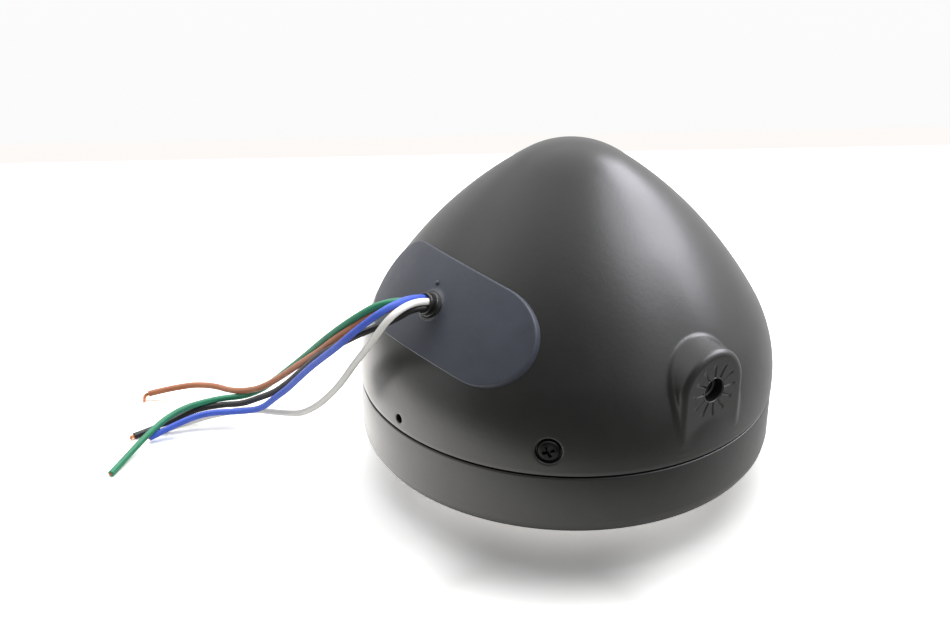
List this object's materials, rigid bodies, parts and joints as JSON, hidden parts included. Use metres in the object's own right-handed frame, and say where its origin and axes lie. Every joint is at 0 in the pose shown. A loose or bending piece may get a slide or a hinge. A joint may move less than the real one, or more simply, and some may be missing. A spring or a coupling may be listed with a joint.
{
  "type": "round motorcycle headlight",
  "caption": "Drop-shaped black motorcycle headlight with a domed glass lens, side bosses for bracket bolts, and a rubber grommet with loose coloured wires.",
  "frame": {"origin": "lowest point of the lens dome, on the optical axis: the lamp lies on its lens", "axes": "+Z along the optical axis from the lens to the bucket's nose, +X and -X through the two bracket bosses, -Y towards the grommet and drain hole, which face down on the fitted lamp"},
  "size_m": [0.2299, 0.2403, 0.1362],
  "materials": {
    "black_paint": "satin",
    "black_screw": "satin",
    "zinc_steel": "satin",
    "lens_glass": "polished",
    "bright_reflector": "polished",
    "black_rubber": "matte",
    "black_plastic": "matte",
    "terminal_brass": "satin",
    "bare_copper": "satin",
    "lead_grey": "matte",
    "green_insulation": "satin",
    "brown_insulation": "satin",
    "blue_insulation": "satin",
    "white_insulation": "satin"
  },
  "bodies": {
    "root": {"bucket": "black_paint", "rim": "black_paint", "rim_screws": "black_screw", "rim_hook": "zinc_steel", "rim_nuts": "zinc_steel", "rim_bracket_left": "zinc_steel", "rim_bracket_right": "zinc_steel", "unit_clips": "zinc_steel", "mount_bush_right": "zinc_steel", "mount_bush_left": "zinc_steel", "bulb_base": "zinc_steel", "bulb_filaments": "zinc_steel", "bulb_spring": "zinc_steel", "lens": "lens_glass", "bulb_glass": "lens_glass", "parking_bulb": "lens_glass", "reflector": "bright_reflector", "grommet": "black_rubber", "lens_seal": "black_rubber", "bulb_boot": "black_rubber", "bulb_plug": "black_plastic", "bulb_insulator": "black_plastic", "parking_holder": "black_plastic", "wire_black": "black_plastic", "bulb_terminals": "terminal_brass", "wire_cores": "bare_copper", "inner_leads": "lead_grey", "wire_green": "green_insulation", "wire_brown": "brown_insulation", "wire_blue": "blue_insulation", "wire_white": "white_insulation"}
  },
  "joints": []
}
